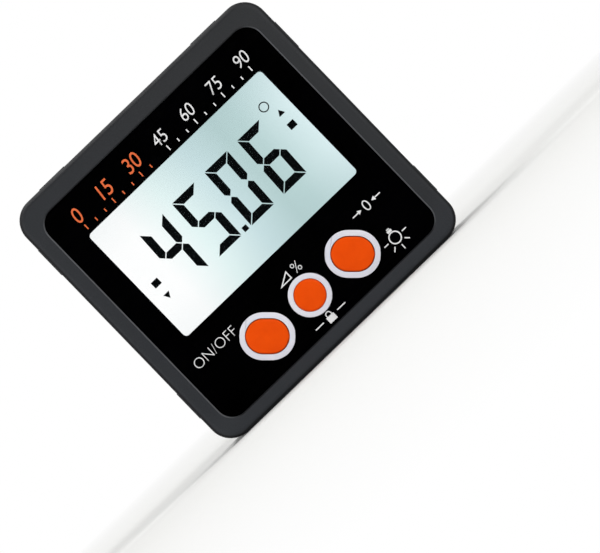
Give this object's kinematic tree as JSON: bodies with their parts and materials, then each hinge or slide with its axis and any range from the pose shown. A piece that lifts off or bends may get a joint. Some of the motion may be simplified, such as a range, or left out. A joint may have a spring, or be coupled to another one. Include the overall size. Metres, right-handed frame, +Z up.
{
  "type": "inclinometer",
  "caption": "Square digital inclinometer box with a window display, oval and round push buttons, a magnetic grooved base and a battery door.",
  "frame": {"origin": "middle of the base, in the plane of the base's contact strips", "axes": "+X to the right of the display, +Y from the display to the back, +Z up"},
  "size_m": [0.06, 0.03, 0.0581],
  "materials": {
    "housing_plastic": "fine satin texture",
    "panel_acrylic": "gloss black",
    "window_lens": "clear, flush, polished",
    "ring_plastic": "pale lilac white, satin",
    "button_plastic": "satin orange",
    "switch_plastic": "black moulded",
    "foam": "closed-cell foam",
    "display_glass": "polished sheet",
    "segment_ink": "dark segments",
    "reflector": "pale teal film",
    "guide_acrylic": "milky",
    "lamp_resin": "yellow phosphor",
    "frame_plastic": "white moulded",
    "connector_rubber": "pink and black layers",
    "board_laminate": "green solder mask",
    "chip_epoxy": "black moulding compound",
    "sensor_lid": "stamped lid",
    "steel": "bright zinc",
    "aluminium_can": "drawn can",
    "magnet_nickel": "nickel plate",
    "insert_brass": "knurled brass",
    "terminal_metal": "nickel-plated brass",
    "cell_jacket": "printed sleeve over the can"
  },
  "bodies": {
    "case": {"front_housing": "housing_plastic", "face_panel": "panel_acrylic", "display_window": "window_lens", "power_button_ring": "ring_plastic", "hold_button_ring": "ring_plastic", "zero_button_ring": "ring_plastic", "switch_bodies": "switch_plastic", "display_gasket": "foam", "lcd_front_glass": "display_glass", "lcd_segments": "segment_ink", "lcd_rear_glass": "display_glass", "reflector_film": "reflector", "backlight_guide": "guide_acrylic", "backlight_leds": "lamp_resin", "display_frame": "frame_plastic", "connector_strip": "connector_rubber", "main_board": "board_laminate", "board_screws": "steel", "processor_chip": "chip_epoxy", "tilt_sensor": "sensor_lid", "crystal": "steel", "capacitors": "aluminium_can", "resistors": "chip_epoxy", "voltage_regulator": "chip_epoxy", "base_magnets": "magnet_nickel", "rear_housing": "housing_plastic", "housing_screws": "steel", "threaded_inserts": "insert_brass", "positive_terminal": "terminal_metal", "negative_terminal": "terminal_metal", "bridge_terminal": "terminal_metal", "battery_springs": "steel", "upper_battery": "cell_jacket", "lower_battery": "cell_jacket"},
    "power_key": {"power_button": "button_plastic", "power_switch_plunger": "switch_plastic"},
    "hold_key": {"hold_button": "button_plastic", "hold_switch_plunger": "switch_plastic"},
    "zero_key": {"zero_button": "button_plastic", "zero_switch_plunger": "switch_plastic"},
    "door": {"battery_door": "housing_plastic"}
  },
  "joints": [
    {"name": "power_press", "type": "slide", "parent": "case", "child": "power_key", "axis": [0, 1, 0], "range_m": [0, 0.0003], "stiffness_N_per_m": 1500, "springref_m": -0.0003},
    {"name": "hold_press", "type": "slide", "parent": "case", "child": "hold_key", "axis": [0, 1, 0], "range_m": [0, 0.0003], "stiffness_N_per_m": 1500, "springref_m": -0.0003},
    {"name": "zero_press", "type": "slide", "parent": "case", "child": "zero_key", "axis": [0, 1, 0], "range_m": [0, 0.0003], "stiffness_N_per_m": 1500, "springref_m": -0.0003},
    {"name": "battery_door_slide", "type": "slide", "parent": "case", "child": "door", "axis": [1, 0, 0], "range_m": [0, 0.05]}
  ]
}
